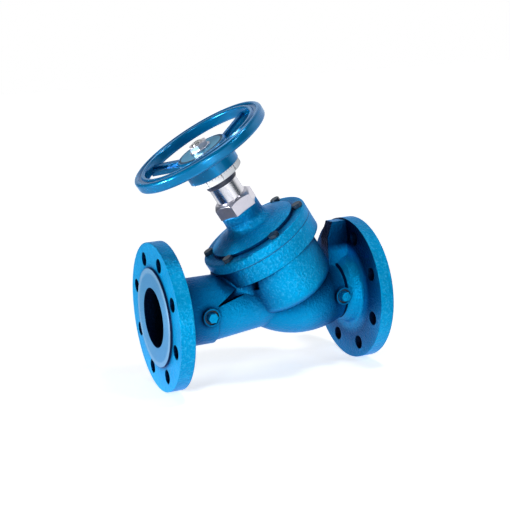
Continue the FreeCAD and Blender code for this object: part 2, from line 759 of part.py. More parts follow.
def bonnet():
    foot = "joint_level + gasket_thick"
    seat = foot + " + bonnet_flange"
    dome = seat + " + dome_step"
    spigot_r = CHAMBER_R + " - 4 * slip"
    body = new_body("bonnet")
    turn(body, "bonnet_turn", [
        ("gland_bore_r", "bonnet_roof"),
        (spigot_r + " - bonnet_wall", "bonnet_roof"),
        (spigot_r + " - bonnet_wall", foot + " - bonnet_spigot"),
        (spigot_r, foot + " - bonnet_spigot"),
        (spigot_r, foot),
        ("crown_r", foot),
        ("crown_r", seat + " - crown_round"),
        ("crown_r - crown_round * (1 - cos(45))", seat + " - crown_round * (1 - cos(45))", "via"),
        ("crown_r - crown_round", seat),
        ("dome_r", seat),
        ("dome_r", dome),
        ("dome_sweep_r", dome + " + dome_high"),
        ("bonnet_neck_r * 0.71 + dome_sweep_r * 0.29", dome + " + dome_high + dome_sweep * 0.345",
         "via"),
        ("bonnet_neck_r", dome + " + dome_high + dome_sweep"),
        ("bonnet_neck_r", "bonnet_top"),
        ("gland_bore_r", "bonnet_top"),
    ])
    place = ("bolt_ring_r * cos(bolt_turn)", "bolt_ring_r * sin(bolt_turn)")
    hole = round_pocket(body, "bonnet_hole", "bolt_r + bolt_play", seat, "bonnet_flange", *place)
    pattern(body, "bonnet_holes", [hole], "bolt_count")
    return along_stem(body)


def bonnet_bolts():
    body = new_body("bonnet_bolts")
    seat = "joint_level + gasket_thick + bonnet_flange"
    place = ("bolt_ring_r * cos(bolt_turn)", "bolt_ring_r * sin(bolt_turn)")
    head = pad(body, "bolt_head", hexagon("bolt_head_across", *place), seat, "bolt_head_high")
    low = "joint_level - bolt_depth"
    shank = round_pad(body, "bolt_shank", "bolt_r", low, "%s - (%s)" % (seat, low), *place)
    pattern(body, "bolt_pattern", [head, shank], "bolt_count")
    return along_stem(body)


def stem_bush():
    base = "bonnet_roof - bush_flange_high"
    return turned("stem_bush", [
        ("stem_r + slip", base),
        ("bush_flange_r", base),
        ("bush_flange_r", "bonnet_roof"),
        ("gland_bore_r - slip", "bonnet_roof"),
        ("gland_bore_r - slip", "bonnet_roof + bush_long"),
        ("stem_r + slip", "bonnet_roof + bush_long"),
    ])


def packing_rings():
    body = new_body("packing_rings")
    base = "bonnet_roof + bush_long"
    inner, outer = "stem_r + slip", "gland_bore_r - slip"
    feature = turn(body, "packing_turn", rectangle(inner, outer, base, base + " + packing_high - 2 * slip"))
    upper = rectangle(inner, outer, base + " + packing_high + 2 * slip", base + " + 2 * packing_high")
    draw(feature.Profile[0], upper)
    return along_stem(body)


def gland_nut():
    body = new_body("gland_nut")
    foot = "bonnet_roof + bush_long + 2 * packing_high"
    top = "bonnet_top + nut_high"
    pad(body, "nut_hexagon", hexagon("nut_across"), "bonnet_top", "nut_high")
    round_pad(body, "nut_spigot", "gland_bore_r - slip", foot, "bonnet_top - (%s)" % foot)
    round_pocket(body, "nut_bore", "stem_r + passing", top, top + " - (%s)" % foot)
    round_pocket(body, "nut_seat", "sleeve_r + slip", top, "sleeve_seat")
    sketch = outline(body, "nut_corners_outline", [
        ("nut_across / 2 + 5", top + " - nut_chamfer"),
        ("nut_across / 2 + 5", top + " + 1"),
        ("nut_across / 2 - 2", top + " + 1"),
        ("nut_across / 2 - 2", top),
    ])
    corners = body.newObject("PartDesign::Groove", "nut_corners")
    corners.Profile = sketch
    corners.ReferenceAxis = (sketch, ["V_Axis"])
    corners.Angle = 360
    return along_stem(body)


def indicator_sleeve():
    low = "bonnet_top + nut_high - sleeve_seat"
    return turned("indicator_sleeve", [
        ("sleeve_bore_r", low),
        ("sleeve_r", low),
        ("sleeve_r", "sleeve_top - edge"),
        ("sleeve_r - edge", "sleeve_top"),
        ("sleeve_bore_r", "sleeve_top"),
    ])


# The plug, which slides along the stem axis.

SEAL_FACE = "seat_top + opening + slip * 5"
PLUG_FACE = SEAL_FACE + " + seal_high"
SOCKET_FLOOR = PLUG_FACE + " + plug_plate"
PLUG_TOP = SOCKET_FLOOR + " + plug_hub_high"
CONE_FOOT = SEAL_FACE + " - cone_long"


def plug_disc():
    return turned("plug_disc", [
        ("0", SOCKET_FLOOR + " - screw_gap"),
        ("screw_r + slip", SOCKET_FLOOR + " - screw_gap"),
        ("screw_r + slip", PLUG_FACE),
        (SEAL_R + " + slip", PLUG_FACE),
        (SEAL_R + " + slip", SEAL_FACE + " + seal_grip"),
        (PLUG_R, SEAL_FACE + " + seal_grip"),
        (PLUG_R, SOCKET_FLOOR + " - 3.5"),
        (PLUG_R + " - 0.9", SOCKET_FLOOR + " - 1.4", "via"),
        (PLUG_R + " - 3", SOCKET_FLOOR + " - 0.5"),
        ("plug_hub_r + 2", SOCKET_FLOOR + " + 2"),
        ("plug_hub_r", SOCKET_FLOOR + " + 4"),
        ("plug_hub_r", PLUG_TOP),
        ("socket_r", PLUG_TOP),
        ("socket_r", SOCKET_FLOOR),
        ("0", SOCKET_FLOOR),
    ])


def plug_seal():
    return turned("plug_seal", rectangle(SEAL_INNER_R, SEAL_R, SEAL_FACE, PLUG_FACE))


def throttle_cone():
    return turned("throttle_cone", [
        ("screw_r + passing", CONE_FOOT),
        (CONE_R + " - cone_taper", CONE_FOOT),
        (CONE_R + " - 4", CONE_FOOT + " + 7.5", "via"),
        (CONE_R, SEAL_FACE + " - 4.2"),
        (CONE_R, SEAL_FACE),
        (SEAL_INNER_R + " - slip", SEAL_FACE),
        (SEAL_INNER_R + " - slip", PLUG_FACE),
        ("screw_r + passing", PLUG_FACE),
    ])


def cone_screw():
    body = new_body("cone_screw")
    turn(body, "screw_turn", [
        ("0", CONE_FOOT + " - screw_head_high"),
        ("screw_head_r", CONE_FOOT + " - screw_head_high"),
        ("screw_head_r", CONE_FOOT),
        ("screw_r", CONE_FOOT),
        ("screw_r", SOCKET_FLOOR + " - screw_gap - 0.5"),
        ("0", SOCKET_FLOOR + " - screw_gap - 0.5"),
    ])
    bottom = CONE_FOOT + " - screw_head_high + key_socket"
    pocket(body, "screw_socket", hexagon("screw_head_r"), bottom, "key_socket")
    return along_stem(body)


def thrust_washer():
    low = SOCKET_FLOOR + " + passing + stem_collar_high + 2 * slip"
    high = low + " + thrust_high"
    return turned("thrust_washer", rectangle("stem_r + passing", "socket_r - passing", low, high))


def plug_nut():
    body = new_body("plug_nut")
    low = SOCKET_FLOOR + " + passing + stem_collar_high + 2 * slip + thrust_high"
    turn(body, "plug_nut_turn", rectangle("stem_r + passing", "socket_r - slip", low, PLUG_TOP))
    slot = rectangle("-socket_r", "socket_r", "-nut_slot_wide / 2", "nut_slot_wide / 2")
    pocket(body, "plug_nut_slots", slot, PLUG_TOP, "nut_slot_deep")
    return along_stem(body)


# The stem and everything that turns with it.

def stem():
    body = new_body("stem")
    foot = SOCKET_FLOOR + " + passing"
    turn(body, "stem_turn", [
        ("0", foot),
        ("stem_collar_r", foot),
        ("stem_collar_r", foot + " + stem_collar_high"),
        ("stem_r", foot + " + stem_collar_high"),
        ("stem_r", "stem_shoulder"),
        ("stem_top_r", "stem_shoulder"),
        ("stem_top_r", "stem_top - edge"),
        ("stem_top_r - edge", "stem_top"),
        ("spindle_head_r + slip", "stem_top"),
        ("spindle_head_r + slip", "spindle_head_low - slip"),
        ("spindle_r + passing", "spindle_head_low - slip"),
        ("spindle_r + passing", "stop_level - 2 * spindle_play"),
        ("0", "stop_level - 2 * spindle_play"),
    ])
    slot = rectangle("-stem_r - 1", "stem_r + 1", "-bar_wide / 2 - passing", "bar_wide / 2 + passing")
    high = "stop_level + bar_high + stop_travel + passing"
    pocket(body, "stem_slot", slot, high, "bar_high + stop_travel + 2 * passing")
    keyway = rectangle("stem_top_r - key_high / 2", "stem_top_r + 1", "-key_wide / 2", "key_wide / 2")
    pocket(body, "stem_keyway", keyway, "stem_shoulder + key_rise + key_long", "key_long")
    return with_wheel(body)


def wheel_hub(body):
    return turn(body, "wheel_hub", [
        ("stem_top_r + slip", "stem_shoulder"),
        ("hub_r", "stem_shoulder"),
        ("hub_r", "drum_roof"),
        ("drum_bore_r", "drum_roof"),
        ("drum_bore_r", "drum_low"),
        ("drum_r", "drum_low"),
        ("drum_r", "drum_top - drum_round"),
        ("drum_r - drum_round * (1 - cos(45))", "drum_top - drum_round * (1 - cos(45))", "via"),
        ("drum_r - drum_round", "drum_top"),
        ("cover_r + passing", "drum_top"),
        ("cover_r + passing", "drum_top - cover_high"),
        ("stem_top_r + slip", "drum_top - cover_high"),
    ])


def spoke_side(body, name, wide, low_lift, high_lift):
    """A spoke's side view, widened both ways from its middle plane."""
    start, end = "drum_r - 1.5", "rim_r - rim_wide + 2"
    sketch = outline(body, name + "_outline", [
        (start, "spoke_root" + low_lift),
        (end, "spoke_tip" + low_lift),
        (end, "spoke_tip" + high_lift),
        (start, "spoke_root" + high_lift),
    ])
    feature = body.newObject("PartDesign::Pad", name)
    feature.Profile = sketch
    feature.Midplane = True
    return bind(feature, Length=wide)


def wheel_rim(body):
    inner = "rim_r - rim_wide"
    top = "rim_low + rim_high"
    return turn(body, "wheel_rim", [
        (inner + " + rim_round", "rim_low"),
        ("rim_r - rim_round", "rim_low"),
        ("rim_r - rim_round * (1 - cos(45))", "rim_low + rim_round * (1 - cos(45))", "via"),
        ("rim_r", "rim_low + rim_round"),
        ("rim_r", top + " - rim_round"),
        ("rim_r - rim_round * (1 - cos(45))", top + " - rim_round * (1 - cos(45))", "via"),
        ("rim_r - rim_round", top),
        ("rim_r - rim_wide * 0.35", top),
        ("rim_r - rim_wide * 0.45", top + " - rim_groove"),
        ("rim_r - rim_wide * 0.65", top + " - rim_groove"),
        ("rim_r - rim_wide * 0.75", top),
        (inner + " + rim_round * 0.6", top),
        (inner + " + rim_round * 0.18", top + " - rim_round * 0.18", "via"),
        (inner, top + " - rim_round * 0.6"),
        (inner, "rim_low + rim_round"),
        (inner + " + rim_round * (1 - cos(45))", "rim_low + rim_round * (1 - cos(45))", "via"),
    ])


def handwheel():
    body = new_body("handwheel")
    wheel_hub(body)
    spoke = spoke_side(body, "wheel_spoke", "spoke_wide", " - spoke_thick", "")
    rib = spoke_side(body, "wheel_rib", "rib_wide", " - spoke_thick / 2", " + rib_high")
    pattern(body, "wheel_spokes", [spoke, rib], "spoke_count")
    wheel_rim(body)
    keyway = rectangle("0", "stem_top_r + key_high / 2 + slip", "-key_wide / 2", "key_wide / 2")
    pocket(body, "wheel_keyway", keyway, "drum_top - cover_high", "drum_top - cover_high - stem_shoulder")
    hole = round_pocket(body, "dial_screw_hole", "dial_screw_r + slip", "drum_low + dial_thread",
                        "dial_thread + 1", "dial_screw_ring_r")
    pattern(body, "dial_screw_holes", [hole], "dial_screw_count")
    return with_wheel(body)


def wheel_key():
    body = new_body("wheel_key")
    low, high = "stem_top_r - key_high / 2", "stem_top_r + key_high / 2"
    sides = rectangle(low, high, "-key_wide / 2", "key_wide / 2")
    pad(body, "key_block", sides, "stem_shoulder + key_rise + key_play", "key_long - 2 * key_play")
    return with_wheel(body)


def hub_cover():
    low = "drum_top - cover_high"
    return turned("hub_cover", [
        ("stem_top_r + passing", low),
        ("cover_r", low),
        ("cover_r", "drum_top + cover_proud - fine_edge"),
        ("cover_r - fine_edge", "drum_top + cover_proud"),
        ("stem_top_r + passing", "drum_top + cover_proud"),
    ])


def wheel_washer():
    low = "drum_top + cover_proud"
    return turned("wheel_washer", rectangle("stem_top_r + passing", "washer_r", low, low + " + washer_high"))


def wheel_nut():
    body = new_body("wheel_nut")
    low = "drum_top + cover_proud + washer_high"
    pad(body, "wheel_nut_hexagon", hexagon("wheel_nut_across"), low, "wheel_nut_high")
    round_pocket(body, "wheel_nut_bore", "stem_top_r + slip", low + " + wheel_nut_high", "wheel_nut_high")
    return with_wheel(body)


def dial_ring():
    body = new_body("dial_ring")
    low = "drum_low - dial_high"
    turn(body, "dial_turn", [
        ("dial_bore_r", low),
        ("dial_r - fine_edge", low),
        ("dial_r", low + " + fine_edge"),
        ("dial_r", "drum_low"),
        ("drum_bore_r - slip", "drum_low"),
        ("drum_bore_r - slip", "drum_low + dial_spigot"),
        ("drum_bore_r - 4", "drum_low + dial_spigot"),
        ("drum_bore_r - 4", "drum_low"),
        ("sleeve_r + 1", "drum_low"),
        ("sleeve_r + 1", low + " + wiper_root"),
        ("dial_bore_r", low + " + wiper_root"),
    ])
    place = "dial_screw_ring_r"
    sink = low + " + dial_screw_sink"
    hole = round_pocket(body, "dial_hole", "dial_screw_r + 2 * slip", "drum_low", "dial_high", place)
    spot = round_pocket(body, "dial_spot", "dial_screw_r * 2", sink, "dial_screw_sink", place)
    pattern(body, "dial_holes", [hole, spot], "dial_screw_count")
    return with_wheel(body)


def ring_screws():
    body = new_body("ring_screws")
    seat = "drum_low - dial_high + dial_screw_sink"
    place = "dial_screw_ring_r"
    low = seat + " - dial_head_high"
    head = round_pad(body, "ring_screw_head", "dial_screw_r * 1.8", low, "dial_head_high", place)
    shank = round_pad(body, "ring_screw_shank", "dial_screw_r", seat, "dial_screw_long", place)
    pattern(body, "ring_screw_pattern", [head, shank], "dial_screw_count")
    return with_wheel(body)


def wiper_ring():
    low = "drum_low - dial_high"
    return turned("wiper_ring", [
        ("sleeve_r + slip", low + " - wiper_lip"),
        ("wiper_r - 0.7", low + " - wiper_lip"),
        ("wiper_r", low + " - wiper_lip + 1.5"),
        ("wiper_r", low),
        ("dial_bore_r - slip", low),
        ("dial_bore_r - slip", low + " + wiper_root"),
        ("sleeve_r + slip", low + " + wiper_root"),
    ])


def spindle_clip():
    low = "spindle_top + slip"
    inner = "spindle_r - spindle_play"
    return turned("spindle_clip", rectangle(inner, "spindle_head_r + slip", low, low + " + clip_high"))


# The memory stop inside the stem.

def stop_spindle():
    body = new_body("stop_spindle")
    turn(body, "spindle_turn", [
        ("0", "stop_level - spindle_play"),
        ("spindle_r", "stop_level - spindle_play"),
        ("spindle_r", "spindle_head_low"),
        ("spindle_head_r", "spindle_head_low"),
        ("spindle_head_r", "spindle_top"),
        ("0", "spindle_top"),
    ])
    pocket(body, "spindle_socket", hexagon("spindle_key"), "spindle_top", "key_socket")
    return with_wheel(body)


def stop_collar():
    body = new_body("stop_collar")
    bore = "stem_r + passing + 2 * slip"
    turn(body, "collar_turn", rectangle(bore, "stop_r", "stop_level", "stop_level + stop_high"))
    slot = rectangle("-stop_r - 1", "stop_r + 1", "-bar_wide / 2 - slip", "bar_wide / 2 + slip")
    pocket(body, "collar_slot", slot, "stop_level + bar_high + slip", "bar_high + slip + 1")
    return with_wheel(body)


def stop_bar():
    body = new_body("stop_bar")
    sides = rectangle("-stop_r + 1", "stop_r - 1", "-bar_wide / 2", "bar_wide / 2")
    pad(body, "bar_block", sides, "stop_level", "bar_high")
    round_pocket(body, "bar_thread", "spindle_r + slip", "stop_level + bar_high", "bar_high")
    return with_wheel(body)


# Plugs in the two pressure tappings.

def tapping_pieces(label, make):
    pieces = [make(side, "boss_%s_x" % side) for side in ("outlet", "inlet")]
    group = doc.addObject("Part::Compound", label + "_group")
    group.Links = pieces
    return keep(group, label)


def tapping_plugs():
    seat = "boss_face - spot_deep + tapping_seal_high"
    top = seat + " + tapping_collar_high"

    def one(side, place):
        collar = side_rod("plug_collar_" + side, "tapping_collar_r", seat, top, place)
        thread = side_rod("plug_thread_" + side, "tapping_r", seat + " - tapping_long", seat, place)
        head = solid("Prism", "plug_head_" + side, Circumradius="tapping_across / sqrt(3)",
                     Height="tapping_head_high")
        head.Placement = Placement(Vector(), Rotation(Vector(1, 0, 0), 90))
        at(head, x=place, y="-(%s)" % top)
        return fuse("tapping_plug_" + side, [collar, thread, head])
    return tapping_pieces("tapping_plugs", one)


def tapping_seals():
    seat = "boss_face - spot_deep"
    top = seat + " + tapping_seal_high"

    def one(side, place):
        disc = side_rod("seal_disc_" + side, "tapping_seal_r", seat, top, place)
        hole = side_rod("seal_hole_" + side, "tapping_r + slip * 4", seat + " - 1", top + " + 1", place)
        return cut("tapping_seal_" + side, disc, [hole])
    return tapping_pieces("tapping_seals", one)


def build():
    body_casting()
    seat_ring()
    bonnet_gasket()
    bonnet()
    bonnet_bolts()
    stem_bush()
    packing_rings()
    gland_nut()
    indicator_sleeve()
    tapping_plugs()
    tapping_seals()
    plug_disc()
    plug_seal()
    throttle_cone()
    cone_screw()
    thrust_washer()
    plug_nut()
    stem()
    handwheel()
    wheel_key()
    hub_cover()
    wheel_washer()
    wheel_nut()
    dial_ring()
    ring_screws()
    wiper_ring()
    spindle_clip()
    stop_spindle()
    stop_collar()
    stop_bar()
    doc.recompute()


def check():
    broken = [one.Name for one in doc.Objects if {"Invalid", "Error"} & set(one.State)]
    if broken:
        raise RuntimeError("failed objects: " + ", ".join(broken))
    for one in sub_parts:
        if one.Shape.isNull() or not one.Shape.isValid():
            raise RuntimeError("bad shape: " + one.Label)


def write():
    os.makedirs("parts", exist_ok=True)
    for one in sub_parts:
        one.Shape.exportStep("parts/%s.step" % one.Label)
        print("%-18s solids %d  volume %.0f" % (one.Label, len(one.Shape.Solids), one.Shape.Volume))


fill_sheet()
build()
check()
write()
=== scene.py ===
import json
import math

import bmesh
import bpy
from mathutils import Matrix, Vector

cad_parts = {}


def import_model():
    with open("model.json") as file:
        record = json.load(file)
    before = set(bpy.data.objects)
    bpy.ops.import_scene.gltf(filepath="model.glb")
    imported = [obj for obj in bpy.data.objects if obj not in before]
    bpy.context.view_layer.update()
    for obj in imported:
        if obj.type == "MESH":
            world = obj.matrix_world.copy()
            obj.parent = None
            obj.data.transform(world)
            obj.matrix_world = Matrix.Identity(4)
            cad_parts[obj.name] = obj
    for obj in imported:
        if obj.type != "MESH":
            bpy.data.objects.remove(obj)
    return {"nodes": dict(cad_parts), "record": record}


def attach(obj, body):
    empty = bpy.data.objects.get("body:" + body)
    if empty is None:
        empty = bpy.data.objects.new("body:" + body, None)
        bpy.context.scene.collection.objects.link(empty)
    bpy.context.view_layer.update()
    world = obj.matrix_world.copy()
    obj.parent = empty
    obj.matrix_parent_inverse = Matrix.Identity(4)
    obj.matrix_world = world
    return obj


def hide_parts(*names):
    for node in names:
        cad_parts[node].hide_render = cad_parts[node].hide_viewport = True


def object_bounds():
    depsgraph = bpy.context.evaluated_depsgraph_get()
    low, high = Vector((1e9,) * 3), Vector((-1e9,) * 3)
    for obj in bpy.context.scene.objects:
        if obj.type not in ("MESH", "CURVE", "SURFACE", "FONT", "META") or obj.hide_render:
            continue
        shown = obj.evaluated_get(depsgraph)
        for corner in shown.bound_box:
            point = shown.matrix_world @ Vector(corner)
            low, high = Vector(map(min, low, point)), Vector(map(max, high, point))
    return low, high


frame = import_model()
cad_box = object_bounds()

MM = 0.001
WELD = 1e-7
SHARP_FROM = math.radians(28)

# The stem's axis: where it crosses the pipe's axis, its way up, and a frame with Z along it.
CROSS = Vector((0.2075, 0, 0))
STEM = Vector((-0.5, 0, 0.8660254))
STEM_FRAME = Matrix.Translation(CROSS) @ Matrix.Rotation(math.radians(-30), 4, "Y")

# The bonnet bolts, in millimetres and degrees, with levels along the stem's axis.
BOLT_COUNT = 6
BOLT_FIRST = 30
BOLT_TURN = 7
BOLT_RING_R = 69.5
BOLT_R = 4
BOLT_END = 86
BOLT_SEAT = 114
SHANK_INTO_HEAD = 1
HEAD_ACROSS = 13
HEAD_HIGH = 5.5
HEAD_CHAMFER = 1.3
HEAD_FLAT_INSET = 0.5
WASHER_FACE_R = 5.9
WASHER_FACE_HIGH = 0.4

# The marks on the graduated ring, in millimetres and degrees.
DIAL_R = 35.7
DIAL_LOW = 205.4
DIAL_FIRST = 9
TICK_COUNT = 50
TICKS_PER_DIGIT = 5
LONG_TICK = (1.2, 3.2)
SHORT_TICK = (0.4, 1.8)
TICK_TOP = 9.2
DIGIT_HIGH = 4.0
DIGIT_LEVEL = 3.2
TYPE_SIZE_PER_HEIGHT = 1.4
MARK_HALF_THICK = 0.05

# The studio, in metres: half the floor's width, its middle, and its gap under the valve.
FLOOR_HALF = 30
FLOOR_X = 0.15
FLOOR_GAP = 0.0002

# The side of the studio whose white backdrop shows in metal, and how it fades in towards it.
BEHIND = Vector((0.80, 0.60, 0.0))
FADE_FROM = 0.35
FADE_TO = 0.75

# Area lamps: name, place, width and height in metres, watts.
LAMPS = (
    ("key", (-0.85, -1.25, 0.75), 0.20, 0.20, 4),
    ("left", (-1.60, 0.05, -0.01), 0.40, 0.14, 44),
    ("right", (0.70, -1.20, 0.80), 0.20, 0.20, 3),
    ("top", (0.45, -0.45, 1.50), 0.22, 0.22, 6),
    ("back", (0.0, 0.7, 1.4), 0.50, 0.50, 3),
    ("front", (-0.25, -1.50, 0.00), 0.10, 0.18, 9),
)
LAMP_AIM = Vector((0.16, 0, 0.07))

# The camera, fitted to the photo: metres, degrees, and its lens in millimetres.
CAMERA_PLACE = (-0.3929, -1.2844, 0.3194)
CAMERA_TURN = 22.95
CAMERA_DIP = 10.35
CAMERA_ROLL = -3.65
LENS = 73.36
SENSOR_WIDE = 36

# Turned metals by slot: dark and bright colour, least roughness, pitch of the marks in metres.
TURNED = {
    "machined_steel": ((0.50, 0.49, 0.56), (0.82, 0.80, 0.88), 0.20, 0.0005),
    "sleeve_chrome": ((0.62, 0.62, 0.67), (0.86, 0.86, 0.91), 0.08, 0.0004),
    "plated_steel": ((0.50, 0.49, 0.53), (0.74, 0.72, 0.78), 0.22, 0.0006),
    "stem_steel": ((0.48, 0.48, 0.49), (0.66, 0.66, 0.67), 0.20, 0.0005),
    "brass": ((0.58, 0.38, 0.12), (0.80, 0.60, 0.26), 0.22, 0.0005),
    "seat_bronze": ((0.46, 0.28, 0.12), (0.68, 0.46, 0.24), 0.24, 0.0006),
}

# Mottled finishes by slot: dark and light colour, metallic, least roughness, then the grain,
# the depth of its relief and the rounding of edges in metres.
MOTTLED = {
    "black_steel": ((0.004, 0.012, 0.026), (0.012, 0.045, 0.085),
                    0.4, 0.28, 0.0009, 0.00008, 0.0006),
    "graphite": ((0.02, 0.02, 0.022), (0.07, 0.07, 0.075),
                 0.0, 0.45, 0.0005, 0.00008, 0.0003),
    "seal_rubber": ((0.012, 0.012, 0.014), (0.03, 0.03, 0.032),
                    0.0, 0.55, 0.0007, 0.00006, 0.0003),
    "plug_iron": ((0.10, 0.10, 0.105), (0.24, 0.24, 0.25),
                  0.8, 0.36, 0.0012, 0.0002, 0.0003),
    "white_plastic": ((0.72, 0.73, 0.75), (0.84, 0.84, 0.85),
                      0.0, 0.30, 0.0015, 0.00005, 0.0004),
    "dark_plastic": ((0.006, 0.010, 0.028), (0.02, 0.03, 0.06),
                     0.0, 0.32, 0.0010, 0.00005, 0.0005),
    "dial_ink": ((0.010, 0.012, 0.020), (0.03, 0.035, 0.05),
                 0.0, 0.40, 0.0008, 0.00002, 0.0003),
}


# Shader sums.

class Flow:
    """An output socket that can be used in sums."""

    def __init__(self, graph, socket):
        self.graph = graph
        self.socket = socket

    def combine(self, operation, *values, clamp=False):
        settings = {"operation": operation, "use_clamp": clamp}
        return self.graph.node("Math", settings, dict(enumerate(values)))

    def __add__(self, other):
        return self.combine("ADD", self, other)

    def __sub__(self, other):
        return self.combine("SUBTRACT", self, other)

    def __rsub__(self, other):
        return self.combine("SUBTRACT", other, self)

    def __mul__(self, other):
        return self.combine("MULTIPLY", self, other)

    def __truediv__(self, other):
        return self.combine("DIVIDE", self, other)

    def __pow__(self, other):
        return self.combine("POWER", self, other)

    def wave(self):
        return self.combine("SINE", self)

    def above(self, edge, soft=0.0001):
        """1 where the value is over the edge, 0 under it, with a soft step between."""
        return self.combine("ADD", (self - edge) / soft, 0.5, clamp=True)

    def below(self, edge, soft=0.0001):
        return 1 - self.above(edge, soft)

    def either(self, other):
        return self.combine("MAXIMUM", self, other)


class Graph:
    """A node tree that is built one node at a time."""

    def __init__(self, tree):
        self.tree = tree

    def node(self, kind, settings=None, sockets=None, output=0):
        """Add a node with its settings and inputs, and give one of its outputs."""
        made = self.tree.nodes.new("ShaderNode" + kind)
        for key, value in (settings or {}).items():
            setattr(made, key, value)
        for key, value in (sockets or {}).items():
            self.feed(made.inputs[key], value)
        return Flow(self, made.outputs[output])

    def feed(self, socket, value):
        """Link a flow to a socket, or set a constant on it."""
        if isinstance(value, Flow):
            self.tree.links.new(value.socket, socket)
        else:
            socket.default_value = value

    def mix(self, share, first, second):
        return self.node("Mix", {"data_type": "RGBA"}, {0: share, 6: first, 7: second}, 2)

    def vector(self, operation, first, second, output=0):
        return self.node("VectorMath", {"operation": operation}, {0: first, 1: second}, output)

    def part_of(self, vector, axis):
        return self.node("SeparateXYZ", None, {0: vector}, axis)

    def ray(self, kind):
        """1 on the rays of a kind, 0 on all others."""
        return self.node("LightPath", output="Is %s Ray" % kind)


class Finish(Graph):
    """A material round one Principled shader."""

    def __init__(self, name, **constants):
        self.material = bpy.data.materials.new(name)
        self.material.use_nodes = True
        super().__init__(self.material.node_tree)
        self.shader = next(one for one in self.tree.nodes if one.type == "BSDF_PRINCIPLED")
        for key, value in constants.items():
            self.shader.inputs[key.replace("_", " ")].default_value = value
        self.place = self.node("TexCoord", output="Object")

    def noise(self, scale, detail=2.0, roughness=0.5, place=None):
        return self.node("TexNoise", None, {
            "Vector": place or self.place, "Scale": scale,
            "Detail": detail, "Roughness": roughness,
        })

    def along(self):
        """The level along the stem's axis, and the distance from that axis."""
        away = self.vector("SUBTRACT", self.place, CROSS)
        level = self.vector("DOT_PRODUCT", away, STEM, "Value")
        reach = self.vector("LENGTH", away, (0, 0, 0), "Value")
        return level, (reach * reach - level * level) ** 0.5

    def drive(self, name, value):
        """Feed a socket of the shader."""
        self.feed(self.shader.inputs[name], value)

    def relief(self, height, depth, rounding=0.0):
        """Bump from a height of 0 to 1, over edges rounded by a radius."""
        sockets = {"Height": height, "Distance": depth, "Strength": 1.0}
        if rounding:
            sockets["Normal"] = self.node("Bevel", {"samples": 4}, {"Radius": rounding})
        self.drive("Normal", self.node("Bump", None, sockets))


def rgb(red, green, blue):
    return (red, green, blue, 1.0)


def grey(level):
    return rgb(level, level, level)


def dirt_in_corners(finish, colour, depth, strength, steepness=1.0):
    """Painted shade: darken a colour where surfaces meet, as shade falls there, its blue least."""
    open_share = finish.node("AmbientOcclusion", {"samples": 16, "only_local": True},
                             {"Distance": depth}, "AO")
    shade = 1 - (1 - open_share ** steepness) * strength
    deep = shade ** 1.3
    tint = finish.node("CombineXYZ", None, {0: deep, 1: deep, 2: shade})
    return finish.vector("MULTIPLY", colour, tint)


# Finishes. Distances are in metres, and the scales of noise are per metre.

def cast_paint():
    """Thick blue paint on a sand-cast skin, thin on the raised faces, with painted shade in the
    ports and corners and painted glints.
    """
    finish = Finish("cast_paint", Metallic=0.5, Specular_IOR_Level=0.15,
                    Specular_Tint=rgb(0.05, 0.5, 1.0))
    x, y, z = (finish.part_of(finish.place, axis) for axis in range(3))
    from_pipe = (y * y + z * z) ** 0.5
    level, from_stem = finish.along()

    # Painted glints: bright cyan specks in the paint, a few everywhere and most on the flanges'
    # rims and on the barrel, where the highlights fall.
    rims = from_pipe.above(0.0985, soft=0.001)
    around_barrel = from_stem.above(0.062, soft=0.004) * from_stem.below(0.081)
    glint_places = rims.either(around_barrel * level.above(0.03, soft=0.01))
    skin = finish.noise(scale=330, detail=2.5, roughness=0.6)
    lumps = finish.noise(scale=95, detail=1.0)
    cloud = finish.noise(scale=16)
    paint = finish.mix(cloud, rgb(0.0, 0.23, 0.51), rgb(0.0, 0.33, 0.67))
    painted_glint = skin.above(0.60, soft=0.22) * (glint_places * 0.35 + 0.12)
    paint = finish.mix(painted_glint, paint, rgb(0.06, 0.54, 0.90))

    # The raised faces are turned, and their paint is thinnest at the outer edge.
    ends = x.below(0.0031).either(x.above(0.3069))
    faced = ends * from_pipe.below(0.0662) * from_pipe.above(0.0403)
    ring_pitch = 0.0009
    rings = (from_pipe * (2 * math.pi / ring_pitch)).wave() * 0.5 + 0.5
    thin = finish.mix(rings * 0.5 + cloud * 0.5, rgb(0.04, 0.19, 0.38), rgb(0.11, 0.30, 0.50))
    outer_edge = from_pipe.above(0.0595, soft=0.002) * 0.6
    thin = finish.mix(outer_edge, thin, rgb(0.24, 0.40, 0.56))
    paint = finish.mix(faced, paint, thin)

    # Painted shade: the bore is painted near black, as the ports lie deep in shadow.
    bore = from_pipe.below(0.0402) * x.below(0.065).either(x.above(0.268))
    paint = finish.mix(bore, paint, rgb(0.0, 0.010, 0.055))

    # Painted shade darkens the corners; it is nearly left off the inlet neck, which is open to the
    # light.
    near_inlet = x.above(0.262, soft=0.03) * from_pipe.below(0.062, soft=0.01)
    strength = 1 - near_inlet * 0.9
    finish.drive("Base Color", dirt_in_corners(finish, paint, 0.085, strength, steepness=3.4))
    finish.drive("Roughness", skin * 0.22 + 0.22 + bore * 0.3)
    sand = skin * 0.75 + lumps * 0.45
    height = sand * (1 - faced) + rings * faced * 0.06
    finish.relief(height, depth=0.0020, rounding=0.0022)
    return finish.material


def wheel_paint():
    """Smooth gloss paint with a slight orange peel."""
    finish = Finish("wheel_paint", Metallic=0.5, Specular_Tint=rgb(0.1, 0.6, 1.0),
                    Coat_Weight=0.35, Coat_Roughness=0.10)
    peel = finish.noise(scale=210, detail=1.5)
    paint = finish.mix(finish.noise(scale=22), rgb(0.0, 0.13, 0.32), rgb(0.0, 0.18, 0.41))
    # Painted shade in the wheel's corners.
    finish.drive("Base Color", dirt_in_corners(finish, paint, depth=0.012, strength=0.7))
    finish.drive("Roughness", peel * 0.10 + 0.20)
    finish.relief(peel, depth=0.00012, rounding=0.0012)
    return finish.material


